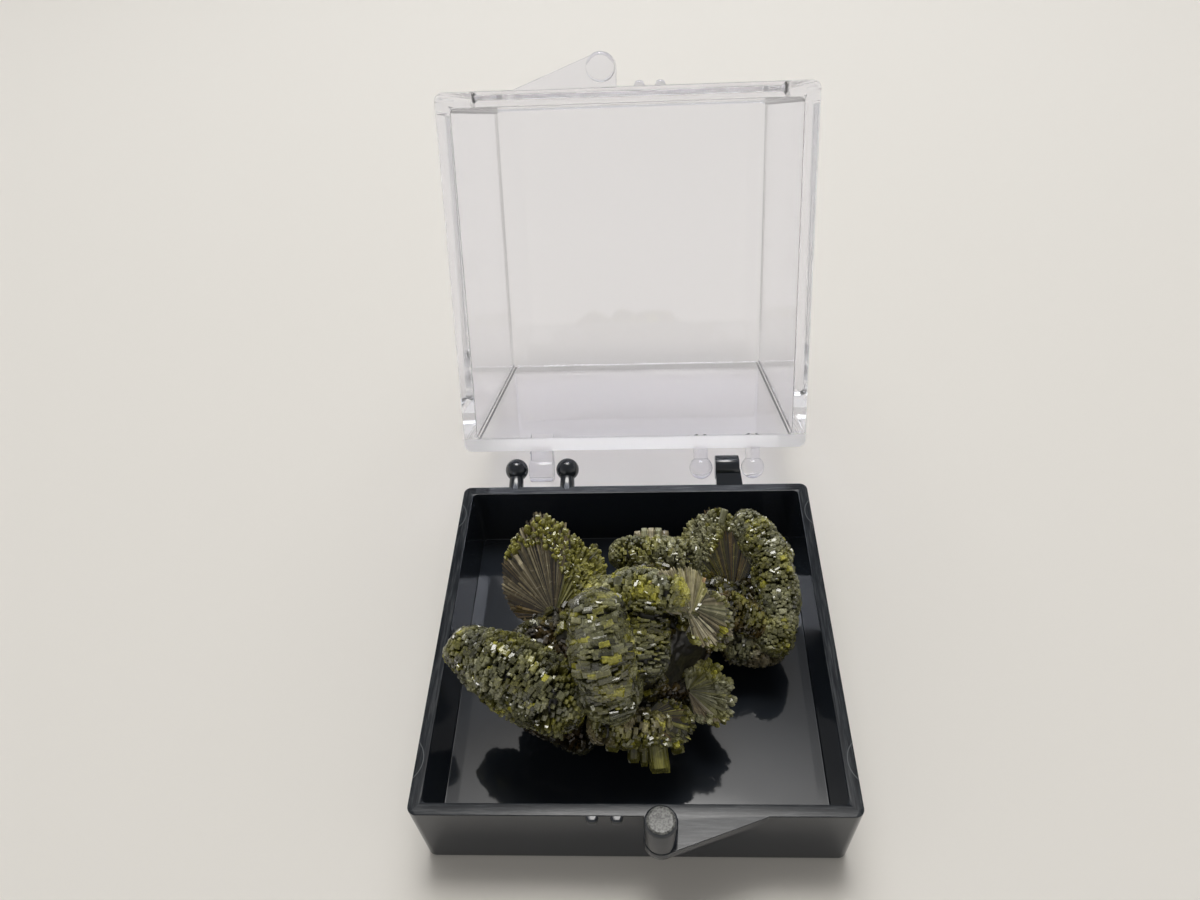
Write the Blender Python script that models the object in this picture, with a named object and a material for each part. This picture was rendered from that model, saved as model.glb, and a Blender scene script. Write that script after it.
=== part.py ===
"""An epidote crystal cluster in its small hinged specimen box.

The tray is opaque black polystyrene and the lid clear polystyrene. The lid stands open, and turns
shut on two ball hinges behind the tray. The cluster is one piece: fans and crests of radiating
prisms, grown together. Lengths below are in millimetres, and MM turns them into Blender's metres.
The origin is the middle of the tray's underside, +Y runs to the hinges and +Z is up.
"""

import math

import bmesh
import bpy
from mathutils import Matrix, Vector

MM = 0.001

# Tray
BOX = 32.0  # square outline at the rim
TRAY_HEIGHT = 7.4
TRAY_DRAFT = 0.3  # how far each side leans in at the underside
TRAY_WALL = 0.95
TRAY_FLOOR = 1.3
CAVITY_DRAFT = 0.25
CORNER_RADIUS = 0.7
INNER_RADIUS = 0.4
EDGE_RADIUS = 0.25

# Lid, as it lies when shut
LID_DEPTH = 24.2
LID_WALL = 1.3
LID_TOP = 1.2
LID_DRAFT = 0.65
LID_EDGE = 0.4  # rounding round its top
SHUT_GAP = 0.15  # between the two rims when shut
OPEN_ANGLE = 113.0  # degrees from shut

# Hinges: a pair of balls takes a knuckle between them, once on each part
HINGE_Y = 17.95
HINGE_Z = 7.65
HINGE_X = 8.75  # the middle of each hinge, left and right of the centre
BALL_RADIUS = 1.08
BALL_SPACING = 4.85
NECK_RADIUS = 0.62
NECK_FOOT = 0.74  # the neck's radius at the wall
KNUCKLE_RADIUS = 1.15
KNUCKLE_WIDTH = 2.25
KNUCKLE_FLARE = 0.35  # how much wider the tray's knuckle is where it meets the wall
WEB_BELOW = 0.5  # the web's end, below and above the hinges' axis
WEB_ABOVE = 0.95
WEB_INSET = 0.02  # each side, against the round end
WALL_BITE = 0.4  # how deep a part that stands on a wall reaches into it
ROOT_Y = BOX / 2 - WALL_BITE
TRAY_NECK_DROP = 0.75  # the tray's necks leave the wall this far below its rim
TRAY_WEB_DROP = 1.6
LID_WEB_LOW = 0.05  # the lid's web and necks, above its rim when shut
LID_WEB_HIGH = 2.2
LID_NECK_RISE = 0.85

# Catches: a three-cornered flange in the rim's plane carries a round post
POST_X = 1.94
POST_Y = -17.5
POST_RADIUS = 1.15
POST_RISE = 2.7
POST_ROUNDING = 0.28
FLANGE_THICK = 0.75
FLANGE_END = 9.4  # where the sloping edge meets the wall
FLANGE_SIDE = 0.75  # the straight edge
FLANGE_LIP = 0.1  # how far the flange runs out past the post
BUMP_X = (1.13, 2.87)
BUMP_REACH = 0.4
BUMP_WIDTH = 0.6  # at the free end, and twice that at the wall
BUMP_LIFT = 0.1  # the bumps' underside above the flange's

# Cluster
REST_GAP = 0.3  # between the cluster and the tray's floor
TIP_SHARE = 0.12  # how much of a crystal's length its chisel tip takes
RIDGE_SHARE = 0.2  # how wide the chisel's edge is against the crystal
BLADE_START = 0.16  # where a fan's blades leave its root, as a share of the radius
BLADE_LAP = 1.15  # how far neighbouring blades run into each other
ROOT_SHARE = 0.95  # a fan's root against half its thickness
LUMP_SHARE = 0.78  # a crest's lumps against the reach of its tips
LUMP_STEP = 1.3  # how far apart they stand, in radii
FOOT_TOP = 6.0

# Each fan spreads from its apex in one plane. face points out of its split face, reach gives
# the outline as (degrees from the level direction, radius), and thick is its depth at the rim.
FANS = {
    "left_fan": {
        "apex": (-6.3, -0.4, 9.4),
        "face": (0.10, -0.62, 0.78),
        "thick": 4.2,
        "rays": 10,
        "reach": [(-174, 2.2), (-207, 4.2), (-228, 5.5), (-241, 6.6), (-256, 7.6), (-268, 8.5),
                  (-278, 7.8), (-293, 6.8), (-309, 6.8), (-323, 6.0), (-342, 4.2)],
    },
    "right_fan": {
        "apex": (8.3, 3.3, 6.5),
        "face": (-0.15, -0.62, 0.77),
        "thick": 4.0,
        "rays": 8,
        "reach": [(186, 3.4), (160, 5.8), (147, 6.9), (135, 7.3), (120, 7.8), (108, 8.0), (88, 5.8)],
    },
    "centre_fan": {
        "apex": (4.2, -3.5, 14.4),
        "face": (0.15, -0.60, 0.78),
        "thick": 3.4,
        "rays": 6,
        "reach": [(156, 2.7), (132, 3.4), (112, 3.5), (91, 3.2), (69, 3.0), (42, 1.9)],
    },
    "centre_skirt": {
        "apex": (4.2, -3.5, 14.2),
        "face": (0.25, -0.55, 0.79),
        "thick": 3.2,
        "rays": 6,
        "reach": [(5, 2.0), (-10, 2.6), (-29, 3.3), (-51, 3.9), (-69, 3.9), (-98, 2.5)],
    },
    "low_fan": {
        "apex": (4.2, -5.5, 6.6),
        "face": (0.25, -0.45, 0.86),
        "thick": 2.8,
        "rays": 7,
        "reach": [(60, 1.7), (25, 2.7), (1, 3.4), (-24, 3.5), (-45, 4.0), (-68, 3.8), (-98, 2.6)],
    },
    "front_fan": {
        "apex": (1.0, -8.3, 7.6),
        "face": (0.20, -0.55, 0.81),
        "thick": 2.6,
        "rays": 5,
        "reach": [(12, 2.2), (-16, 3.6), (-29, 3.9), (-44, 3.8), (-66, 3.0)],
    },
}

# Each crest is a round bank of tips about a spine: (x, y, z, radius) along it.
CRESTS = {
    "left_lobe": {
        "spine": [(-12.1, -4.7, 10.6, 2.1), (-9.4, -6.3, 10.7, 3.0), (-5.9, -7.8, 9.8, 3.0)],
        "tips": 17,
    },
    "front_crest": {
        "spine": [(-2.4, -4.6, 14.6, 2.3), (-2.0, -6.9, 13.2, 2.5), (-1.6, -8.2, 10.8, 2.3)],
        "tips": 13,
    },
    "middle_crest": {
        "spine": [(1.2, -3.7, 13.6, 1.7), (1.1, -6.0, 12.0, 1.8)],
        "tips": 6,
    },
    "top_crest": {
        "spine": [(-2.2, -1.2, 13.0, 1.5), (0.6, -1.4, 14.3, 1.7), (2.9, -2.4, 14.8, 1.5)],
        "tips": 8,
    },
    "back_clump": {
        "spine": [(-0.5, 6.3, 8.9, 1.6), (2.2, 6.6, 9.0, 1.5), (4.4, 6.2, 8.6, 1.5)],
        "tips": 8,
    },
    "right_crest": {
        "spine": [
            (9.9, 8.4, 9.8, 1.6), (11.5, 5.8, 9.3, 1.9), (11.9, 2.4, 7.8, 2.0), (11.6, -0.6, 5.9, 1.7),
        ],
        "tips": 17,
    },
    "inner_crest": {
        "spine": [(7.6, 0.9, 8.4, 1.5), (9.8, 0.6, 7.2, 1.4)],
        "tips": 5,
    },
    "right_foot": {
        "spine": [(8.6, -0.8, 4.8, 1.6), (11.2, -0.6, 4.2, 1.6)],
        "tips": 6,
    },
    "front_foot": {
        "spine": [(-1.9, -8.8, 7.2, 1.7), (0.3, -8.9, 6.8, 1.6), (2.5, -8.1, 6.0, 1.4)],
        "tips": 8,
    },
    "left_foot": {
        "spine": [(-7.6, -6.6, 6.0, 1.9), (-4.6, -7.6, 4.6, 2.0)],
        "tips": 5,
    },
}

# The mass that joins them: (x, y, z, radius across, radius up)
CORE = [
    (-7.0, -3.6, 8.2, 3.2, 2.8),
    (-6.0, -0.8, 8.0, 2.4, 2.2),
    (-3.0, -3.6, 8.4, 3.6, 6.0),
    (0.8, -3.6, 8.2, 3.4, 5.8),
    (3.6, -1.6, 9.0, 2.8, 4.6),
    (1.6, 2.6, 7.4, 2.8, 3.0),
    (6.0, 2.2, 6.2, 3.2, 3.0),
    (9.6, 2.6, 5.4, 2.8, 2.8),
]
# Points of the mass that reach the tray's floor: (x, y, radius)
FEET = [(-3.4, -4.4, 1.9), (1.6, -6.6, 1.7), (8.8, 1.6, 1.9), (0.6, 0.6, 1.7)]

# Single thick prisms at the front and the back: root, tip, width and depth
PRISMS = [
    ((1.4, -8.2, 6.8), (2.0, -11.6, 5.0), 2.0, 1.6),
    ((0.2, -8.0, 7.2), (0.1, -11.0, 5.4), 1.3, 1.2),
    ((2.6, -7.6, 6.4), (3.5, -10.4, 5.2), 1.3, 1.1),
    ((-1.2, -8.4, 7.4), (-1.6, -11.0, 6.6), 1.4, 1.2),
    ((1.7, 5.2, 8.6), (1.6, 8.6, 10.4), 2.6, 0.9),
]


def material(name, colour, roughness, metallic=0.0, transmission=0.0, ior=1.5):
    made = bpy.data.materials.new(name)
    made.use_nodes = True
    shader = made.node_tree.nodes["Principled BSDF"]
    shader.inputs["Base Color"].default_value = (*colour, 1.0)
    shader.inputs["Roughness"].default_value = roughness
    shader.inputs["Metallic"].default_value = metallic
    shader.inputs["Transmission Weight"].default_value = transmission
    shader.inputs["IOR"].default_value = ior
    made.diffuse_color = (*colour, 1.0)
    return made


def solid(name, bm, finish=None):
    """Turns a bmesh in millimetres into an object in metres."""
    bmesh.ops.scale(bm, vec=(MM, MM, MM), verts=bm.verts)
    bmesh.ops.recalc_face_normals(bm, faces=bm.faces)
    mesh = bpy.data.meshes.new(name)
    bm.to_mesh(mesh)
    bm.free()
    made = bpy.data.objects.new(name, mesh)
    bpy.context.scene.collection.objects.link(made)
    if finish is not None:
        mesh.materials.append(finish)
    return made


def combine(target, tool, operation, self_crossing=False):
    """Adds or cuts away one shape, which then stays in the file as a hidden guide."""
    step = target.modifiers.new(tool.name, "BOOLEAN")
    step.operation = operation
    step.solver = "EXACT"
    step.use_self = self_crossing
    step.object = tool
    tool.hide_render = True
    tool.display_type = "WIRE"
    tool.parent = target.parent


def islands(bm):
    """The separate skins of a mesh, each as its list of points."""
    left = set(bm.verts)
    found = []
    while left:
        reached = [left.pop()]
        for vert in reached:
            for edge in vert.link_edges:
                other = edge.other_vert(vert)
                if other in left:
                    left.remove(other)
                    reached.append(other)
        found.append(reached)
    return found


def settle(target):
    """Applies the steps, and keeps the outer skin without the pockets shut up inside it."""
    graph = bpy.context.evaluated_depsgraph_get()
    bm = bmesh.new()
    bm.from_mesh(bpy.data.meshes.new_from_object(target.evaluated_get(graph)))
    skins = sorted(islands(bm), key=lambda skin: max(v.co.z for v in skin) - min(v.co.z for v in skin))
    for pocket in skins[:-1]:
        bmesh.ops.delete(bm, geom=pocket, context="VERTS")
    for step in target.modifiers:
        bpy.data.objects.remove(step.object, do_unlink=True)
    target.modifiers.clear()
    bm.to_mesh(target.data)
    bm.free()


def bevel(bm, edges, radius, segments):
    bmesh.ops.bevel(
        bm, geom=edges, offset=radius, offset_type="OFFSET", segments=segments,
        profile=0.5, affect="EDGES", material=-1,
    )


def tapered_box(bm, half_low, half_high, low, high, corner, corner_steps):
    """A square block whose sides lean, with its four upright corners rounded."""
    bmesh.ops.create_cube(bm, size=2.0)
    for vert in bm.verts:
        half = half_high if vert.co.z > 0 else half_low
        vert.co = Vector((vert.co.x * half, vert.co.y * half, high if vert.co.z > 0 else low))
    upright = [e for e in bm.edges if abs(e.verts[0].co.z - e.verts[1].co.z) > 0.1]
    bevel(bm, upright, corner, corner_steps)


def rim_edges(bm, height):
    """The edges round one level of a block."""
    return [e for e in bm.edges if all(abs(v.co.z - height) < 1e-4 for v in e.verts)]


def cylinder(bm, radius, length, place, segments=16, top_radius=None):
    bmesh.ops.create_cone(
        bm, cap_ends=True, segments=segments, radius1=radius,
        radius2=radius if top_radius is None else top_radius, depth=length, matrix=place,
    )


def between(start, end):
    """A placement at the middle of two points, with Z along the line between them."""
    line = Vector(end) - Vector(start)
    middle = (Vector(start) + Vector(end)) / 2
    return Matrix.Translation(middle) @ line.to_track_quat("Z", "Y").to_matrix().to_4x4()


def add_hinge_balls(target, name, middle, foot_z):
    """Two balls on the hinges' axis, each on a neck that stands out of the wall."""
    for hand, step in (("left", -0.5), ("right", 0.5)):
        centre = Vector((middle + step * BALL_SPACING, HINGE_Y, HINGE_Z))
        foot = Vector((centre.x, ROOT_Y, foot_z))
        ball = bmesh.new()
        lying = Matrix.Translation(centre) @ Matrix.Rotation(math.pi / 2, 4, "Y")
        bmesh.ops.create_uvsphere(ball, u_segments=12, v_segments=8, radius=BALL_RADIUS, matrix=lying)
        combine(target, solid(f"{name}_ball_{hand}", ball), "UNION")
        neck = bmesh.new()
        cylinder(neck, NECK_FOOT, (centre - foot).length, between(foot, centre), 10, NECK_RADIUS)
        combine(target, solid(f"{name}_neck_{hand}", neck), "UNION")


def add_knuckle(target, name, middle, root_low, root_high, flare=0.0):
    """A plate with a round end about the hinge's axis, and the web that joins it to a wall."""
    bm = bmesh.new()
    lying = Matrix.Translation((middle, HINGE_Y, HINGE_Z)) @ Matrix.Rotation(math.pi / 2, 4, "Y")
    cylinder(bm, KNUCKLE_RADIUS, KNUCKLE_WIDTH, lying, 20)
    combine(target, solid(f"{name}_knuckle", bm), "UNION")
    web = bmesh.new()
    bmesh.ops.create_cube(web, size=1.0)
    for vert in web.verts:
        at_root = vert.co.y < 0
        low, high = (root_low, root_high) if at_root else (HINGE_Z - WEB_BELOW, HINGE_Z + WEB_ABOVE)
        wider = flare if at_root and vert.co.x > 0 else 0.0
        vert.co = Vector((
            middle + vert.co.x * (KNUCKLE_WIDTH - 2 * WEB_INSET) + wider,
            ROOT_Y if at_root else HINGE_Y,
            high if vert.co.z > 0 else low,
        ))
    combine(target, solid(f"{name}_web", web), "UNION")


def add_catch(target, name, side, low, post_low, post_high):
    """The flange, its post and the two bumps that grip the other part's post."""
    flange = bmesh.new()
    turn = POST_RADIUS + FLANGE_LIP
    rounded = [math.radians(angle) for angle in (180, 222, 265, 300)]
    corners = [(FLANGE_SIDE, -ROOT_Y)]
    corners += [(POST_X + turn * math.cos(a), POST_Y + turn * math.sin(a)) for a in rounded]
    corners += [(FLANGE_END, -BOX / 2), (FLANGE_END, -ROOT_Y)]
    outline = [flange.verts.new((side * x, y, low)) for x, y in corners]
    face = flange.faces.new(outline if side > 0 else outline[::-1])
    raised = bmesh.ops.extrude_face_region(flange, geom=[face])
    lifted = [v for v in raised["geom"] if isinstance(v, bmesh.types.BMVert)]
    bmesh.ops.translate(flange, vec=(0, 0, FLANGE_THICK), verts=lifted)
    combine(target, solid(f"{name}_flange", flange), "UNION")

    post = bmesh.new()
    middle = (side * POST_X, POST_Y, (post_low + post_high) / 2)
    cylinder(post, POST_RADIUS, post_high - post_low, Matrix.Translation(middle), 20)
    ends = [e for e in post.edges if abs(e.verts[0].co.z - e.verts[1].co.z) < 1e-4]
    free_end = post_high if side > 0 else post_low
    bevel(post, [e for e in ends if abs(e.verts[0].co.z - free_end) < 1e-4], POST_ROUNDING, 2)
    combine(target, solid(f"{name}_post", post), "UNION")

    for count, x in enumerate(BUMP_X):
        bump = bmesh.new()
        bmesh.ops.create_cube(bump, size=1.0)
        for vert in bump.verts:
            outer = vert.co.y < 0
            width = BUMP_WIDTH if outer else 2 * BUMP_WIDTH
            vert.co = Vector((
                -side * x + vert.co.x * width,
                -BOX / 2 - BUMP_REACH if outer else -ROOT_Y,
                low + (FLANGE_THICK if vert.co.z > 0 else BUMP_LIFT),
            ))
        combine(target, solid(f"{name}_bump_{count}", bump), "UNION")


def make_tray(finish):
    half = BOX / 2
    body = bmesh.new()
    tapered_box(body, half - TRAY_DRAFT, half, 0.0, TRAY_HEIGHT, CORNER_RADIUS, 3)
    bevel(body, rim_edges(body, 0.0), EDGE_RADIUS, 1)
    tray = solid("tray", body, finish)

    cavity = bmesh.new()
    inner = half - TRAY_WALL
    rise = TRAY_HEIGHT - TRAY_FLOOR
    above = inner + CAVITY_DRAFT / rise
    tapered_box(cavity, inner - CAVITY_DRAFT, above, TRAY_FLOOR, TRAY_HEIGHT + 1.0, INNER_RADIUS, 2)
    combine(tray, solid("tray_cavity", cavity), "DIFFERENCE")

    add_hinge_balls(tray, "tray", -HINGE_X, TRAY_HEIGHT - TRAY_NECK_DROP)
    add_knuckle(tray, "tray", HINGE_X, TRAY_HEIGHT - TRAY_WEB_DROP, TRAY_HEIGHT, KNUCKLE_FLARE)
    low = TRAY_HEIGHT - FLANGE_THICK
    add_catch(tray, "tray", 1, low, low, TRAY_HEIGHT + POST_RISE)
    return tray


def make_lid(finish):
    """The lid is drawn shut, then its frame is turned open about the hinges."""
    half = BOX / 2
    rim = TRAY_HEIGHT + SHUT_GAP
    top = rim + LID_DEPTH
    body = bmesh.new()
    tapered_box(body, half, half - LID_DRAFT, rim, top, CORNER_RADIUS, 3)
    bevel(body, rim_edges(body, top), LID_EDGE, 1)
    lid = solid("lid", body, finish)

    cavity = bmesh.new()
    inner = half - LID_WALL
    share = (LID_DEPTH - LID_TOP) / LID_DEPTH
    below = inner + LID_DRAFT / LID_DEPTH
    tapered_box(cavity, below, inner - LID_DRAFT * share, rim - 1.0, top - LID_TOP, INNER_RADIUS, 2)
    combine(lid, solid("lid_cavity", cavity), "DIFFERENCE")

    add_knuckle(lid, "lid", -HINGE_X, rim + LID_WEB_LOW, rim + LID_WEB_HIGH)
    add_hinge_balls(lid, "lid", HINGE_X, rim + LID_NECK_RISE)
    add_catch(lid, "lid", -1, rim, rim - POST_RISE, rim + FLANGE_THICK)
    return lid


def open_lid(lid, tools):
    """Puts the lid's origin on the hinges' axis and turns it open with all its tools."""
    axis = Vector((0, HINGE_Y, HINGE_Z)) * MM
    hinge = bpy.data.objects.new("lid_hinge", None)
    bpy.context.scene.collection.objects.link(hinge)
    hinge.location = axis
    hinge.rotation_euler = (-math.radians(OPEN_ANGLE), 0, 0)
    for piece in [lid, *tools]:
        piece.data.transform(Matrix.Translation(-axis))
        piece.parent = hinge


def unit_crystal(segments, taper):
    """A crystal one unit long and one across: it widens to its shoulder and ends in a chisel."""
    bm = bmesh.new()
    shoulder = 1.0 - TIP_SHARE
    bmesh.ops.create_cone(
        bm, cap_ends=True, segments=segments, radius1=taper / 2, radius2=0.5, depth=shoulder,
        matrix=Matrix.Translation((0, 0, shoulder / 2)) @ Matrix.Rotation(math.pi / segments, 4, "Z"),
    )
    top = [f for f in bm.faces if f.calc_center_median().z > shoulder - 1e-4]
    grown = bmesh.ops.extrude_discrete_faces(bm, faces=top)
    edge = [v for f in grown["faces"] for v in f.verts]
    bmesh.ops.scale(bm, vec=(0.75, RIDGE_SHARE, 1.0), verts=edge)
    bmesh.ops.translate(bm, vec=(0, 0, TIP_SHARE), verts=edge)
    mesh = bpy.data.meshes.new("unit_crystal")
    bm.to_mesh(mesh)
    bm.free()
    return mesh


def add_crystal(bm, unit, start, end, side, width, depth):
    """Sets a copy of the unit crystal between two points, its width along side."""
    start = Vector(start)
    line = Vector(end) - start
    along = line.normalized()
    across = along.cross(Vector(side)).normalized()
    level = across.cross(along)
    place = Matrix((
        (*(level * width), 0), (*(across * depth), 0), (*line, 0), (0, 0, 0, 1),
    )).transposed()
    place.translation = start
    known = len(bm.verts)
    bm.from_mesh(unit)
    bm.verts.ensure_lookup_table()
    bmesh.ops.transform(bm, matrix=place, verts=bm.verts[known:])


def radius_at(reach, angle):
    """The outline's radius, straight between the given angles."""
    for (first, near), (second, far) in zip(reach, reach[1:]):
        if min(first, second) <= angle <= max(first, second):
            return near + (far - near) * (angle - first) / (second - first)
    return reach[-1][1]


def fan_axes(face):
    """The level direction in a fan's plane, the one that climbs, and the face's own."""
    out = Vector(face).normalized()
    level = Vector((-out.y, out.x, 0)).normalized()
    return level, out.cross(level), out


def grow(name, root, crystals):
    """One closed shape from a lump and the crystals that cross it and each other."""
    grown = solid(name, root)
    combine(grown, solid(f"{name}_crystals", crystals), "UNION", True)
    settle(grown)
    return grown


def make_fan(name, fan, blade):
    """Two layers of blades from one apex. The one behind has half as many, and wider."""
    apex = Vector(fan["apex"])
    level, climb, out = fan_axes(fan["face"])
    first, last = fan["reach"][0][0], fan["reach"][-1][0]
    layer = fan["thick"] / 2
    root = bmesh.new()
    bmesh.ops.create_icosphere(
        root, subdivisions=1, radius=layer * ROOT_SHARE, matrix=Matrix.Translation(apex - out * layer),
    )
    blades = bmesh.new()
    for behind in (0, 1):
        rays = fan["rays"] // 2 if behind else fan["rays"]
        step = (last - first) / rays
        for ray in range(rays):
            angle = first + step * (ray + 0.5)
            turn = math.radians(angle)
            along = level * math.cos(turn) + climb * math.sin(turn)
            radius = radius_at(fan["reach"], angle) * (1.0 - 0.08 * behind - 0.05 * (ray % 2))
            width = 2 * radius * math.tan(abs(math.radians(step)) / 2) * BLADE_LAP
            tilt = 0.12 * layer * (ray % 3 - 1)
            start = apex + along * radius * BLADE_START - out * layer * (0.6 + 0.4 * behind)
            end = apex + along * radius - out * (layer * (behind + 0.5) - tilt)
            add_crystal(blades, blade, start, end, along.cross(out), width, layer * BLADE_LAP)
    return grow(name, root, blades)


def spine_point(spine, share):
    """A point of a crest's spine and its radius there, share running from 0 to 1."""
    place = share * (len(spine) - 1)
    index = min(int(place), len(spine) - 2)
    near, far = Vector(spine[index][:3]), Vector(spine[index + 1][:3])
    part = place - index
    radius = spine[index][3] + (spine[index + 1][3] - spine[index][3]) * part
    return near.lerp(far, part), radius


def make_crest(name, crest, rhomb):
    """Rough lumps along the spine, with prisms standing out of them all round."""
    spine = crest["spine"]
    root, bm = bmesh.new(), bmesh.new()
    run = Vector(spine[-1][:3]) - Vector(spine[0][:3])
    lumps = max(2, round(run.length / (spine[0][3] * LUMP_STEP)) + 1)
    for count in range(lumps):
        middle, radius = spine_point(spine, count / (lumps - 1))
        lump = Matrix.Translation(middle) @ Matrix.Rotation(1.7 * count, 4, (0.3, 0.5, 0.8))
        target = bm if count else root
        bmesh.ops.create_icosphere(target, subdivisions=1, radius=radius * LUMP_SHARE, matrix=lump)
    heading = run.normalized()
    beside = heading.cross(Vector((0, 0, 1))).normalized()
    above = beside.cross(heading)
    golden = math.pi * (3 - math.sqrt(5))
    for count in range(crest["tips"]):
        share = (count + 0.5) / crest["tips"]
        base, radius = spine_point(spine, share)
        turn = golden * count
        lean = (share - 0.5) * 1.5
        out = (beside * math.cos(turn) + above * math.sin(turn) + heading * lean).normalized()
        size = radius * (0.72 + 0.12 * (count % 3))
        reach = radius * (1.0 - 0.06 * (count % 2))
        add_crystal(bm, rhomb, base, base + out * reach, heading, size, size * 0.8)
    return grow(name, root, bm)


def make_cluster(finish):
    blade = unit_crystal(4, 0.35)
    rhomb = unit_crystal(4, 0.8)
    prism = unit_crystal(6, 0.8)
    middle, core = bmesh.new(), bmesh.new()
    for count, (x, y, z, across, up) in enumerate(CORE):
        lump = Matrix.Translation((x, y, z)) @ Matrix.Diagonal((across, across, up, 1.0))
        target = core if count else middle
        bmesh.ops.create_icosphere(target, subdivisions=1, radius=1.0, matrix=lump)
    foot_low = TRAY_FLOOR + REST_GAP
    for x, y, radius in FEET:
        start, end = (x, y, FOOT_TOP), (x, y, foot_low)
        add_crystal(core, prism, start, end, (1, 0, 0), radius * 2, radius * 1.6)
    for root, tip, width, depth in PRISMS:
        add_crystal(core, prism, root, tip, (1, 0, 0), width, depth)
    cluster = grow("epidote", middle, core)
    cluster.data.materials.append(finish)
    for name, fan in FANS.items():
        combine(cluster, make_fan(name, fan, blade), "UNION")
    for name, crest in CRESTS.items():
        combine(cluster, make_crest(name, crest, rhomb), "UNION")
    settle(cluster)
    return cluster


def shade(piece):
    piece.data.shade_smooth()
    piece.data.set_sharp_from_angle(angle=math.radians(35))


def main():
    for old in list(bpy.data.objects):
        bpy.data.objects.remove(old, do_unlink=True)
    black = material("black_polystyrene", (0.010, 0.011, 0.013), 0.16, ior=1.59)
    clear = material("clear_polystyrene", (0.96, 0.96, 0.98), 0.04, transmission=1.0, ior=1.59)
    olive = material("epidote_crystal", (0.13, 0.12, 0.02), 0.22, transmission=0.2, ior=1.75)

    shade(make_tray(black))
    before = set(bpy.data.objects)
    lid = make_lid(clear)
    shade(lid)
    open_lid(lid, [piece for piece in bpy.data.objects if piece not in before and piece != lid])
    make_cluster(olive)


main()
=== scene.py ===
"""Looks for an epidote crystal cluster in its small hinged specimen box.

The cluster is grown again from the same fans and crests as the solids, out of thousands of thin
striated prisms. The tray is drawn again in black polystyrene and the lid in clear polystyrene, with
fine rounded edges. Lengths are in millimetres, and MM turns them into Blender's metres.
"""

import math
import random

import bmesh
import bpy
from mathutils import Matrix, Vector, noise


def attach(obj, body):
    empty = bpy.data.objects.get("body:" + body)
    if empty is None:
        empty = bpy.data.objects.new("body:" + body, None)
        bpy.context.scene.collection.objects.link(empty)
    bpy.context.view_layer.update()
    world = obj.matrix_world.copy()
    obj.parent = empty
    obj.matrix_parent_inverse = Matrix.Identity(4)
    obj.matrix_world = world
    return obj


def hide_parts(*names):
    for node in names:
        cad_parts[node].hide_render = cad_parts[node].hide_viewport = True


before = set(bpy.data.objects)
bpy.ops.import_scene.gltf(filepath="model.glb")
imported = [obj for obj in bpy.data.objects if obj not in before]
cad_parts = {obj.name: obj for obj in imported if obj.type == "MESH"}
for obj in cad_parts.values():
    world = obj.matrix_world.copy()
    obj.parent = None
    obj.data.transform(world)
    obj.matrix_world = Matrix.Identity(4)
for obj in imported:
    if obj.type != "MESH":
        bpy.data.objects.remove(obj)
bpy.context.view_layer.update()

MM = 0.001

# Levels nearer than this are one level
NEAR = 1e-4
# Sharper turns than these, in radians, are rounded: on the boxes, and on their small parts
BOX_TURN = 0.5
PART_TURN = 1.0

# Tray
BOX = 32.0
TRAY_HEIGHT = 7.4
TRAY_DRAFT = 0.3
TRAY_WALL = 0.95
TRAY_FLOOR = 1.3
CAVITY_DRAFT = 0.25
CORNER_RADIUS = 0.7
INNER_RADIUS = 0.4
EDGE_RADIUS = 0.25
RIM_RADIUS = 0.1

# Lid, as it lies when shut
LID_DEPTH = 24.2
LID_WALL = 1.3
LID_TOP = 1.2
LID_DRAFT = 0.65
LID_EDGE = 0.52
LID_HOLLOW_EDGE = 0.3
SHUT_GAP = 0.15
OPEN_ANGLE = 113.0

# Hinges
HINGE_Y = 17.95
HINGE_Z = 7.65
HINGE_X = 8.75
BALL_RADIUS = 1.08
BALL_SPACING = 4.85
NECK_RADIUS = 0.62
NECK_FOOT = 0.74
TRAY_NECK_DROP = 0.75
LID_NECK_RISE = 0.85
KNUCKLE_RADIUS = 1.15
KNUCKLE_WIDTH = 2.25
KNUCKLE_FLARE = 0.35
WEB_BELOW = 0.5
WEB_ABOVE = 0.95
# Where a web's root starts and ends, above the rim that it stands on
TRAY_WEB = (-1.6, -0.14)
LID_WEB = (0.05, 2.2)
KNUCKLE_ROUNDING = 0.12
WEB_ROUNDING = 0.08
WALL_BITE = 0.4
# How far a joined part's faces stay inside those beside them, so that none coincide
SINK = 0.01
ROOT_Y = BOX / 2 - WALL_BITE

# Catches
POST_X = 1.94
POST_Y = -17.5
POST_RADIUS = 1.15
POST_RISE = 2.7
POST_ROUNDING = 0.36
POST_ROOT = 0.2
FLANGE_THICK = 0.75
FLANGE_END = 9.4
FLANGE_SIDE = 0.75
FLANGE_LIP = 0.06
FLANGE_ROUNDING = 0.06
BUMP_X = (1.13, 2.87)
BUMP_REACH = 0.4
BUMP_WIDTH = 0.6
BUMP_ROUNDING = 0.16
# How far a bump stops short of its flange's upper side and underside
BUMP_SHORT = (0.04, 0.1)

# Marks of the mould's ejector pins, whose centres lie beyond the side walls
PIN_X = 17.5
PIN_ROWS = (-11.8, 12.4)
PIN_RADIUS = 2.1
PIN_LINE = 0.035
TICK_X = 12.85
TICK_LINE = 0.07

# Surfaces
POLYSTYRENE_IOR = 1.59
EPIDOTE_IOR = 1.75
# Grooves in a millimetre, across a crystal and along it
GROOVES = (9.0, 9.0, 0.35)
# Patches in a metre: the crystals' veils are about 0.5 mm across, the mass's patches 1.1 mm
VEILS = 2000.0
MASS_PATCHES = 900.0
# Streaks in a millimetre on a worn rim, along it and across it, and specks on the post's end,
# which are scuffs and painted sheen
STREAKS_ALONG = 0.35
STREAKS_ACROSS = 6.0
SPECKS = 7.0
HAZE = 0.35
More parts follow.
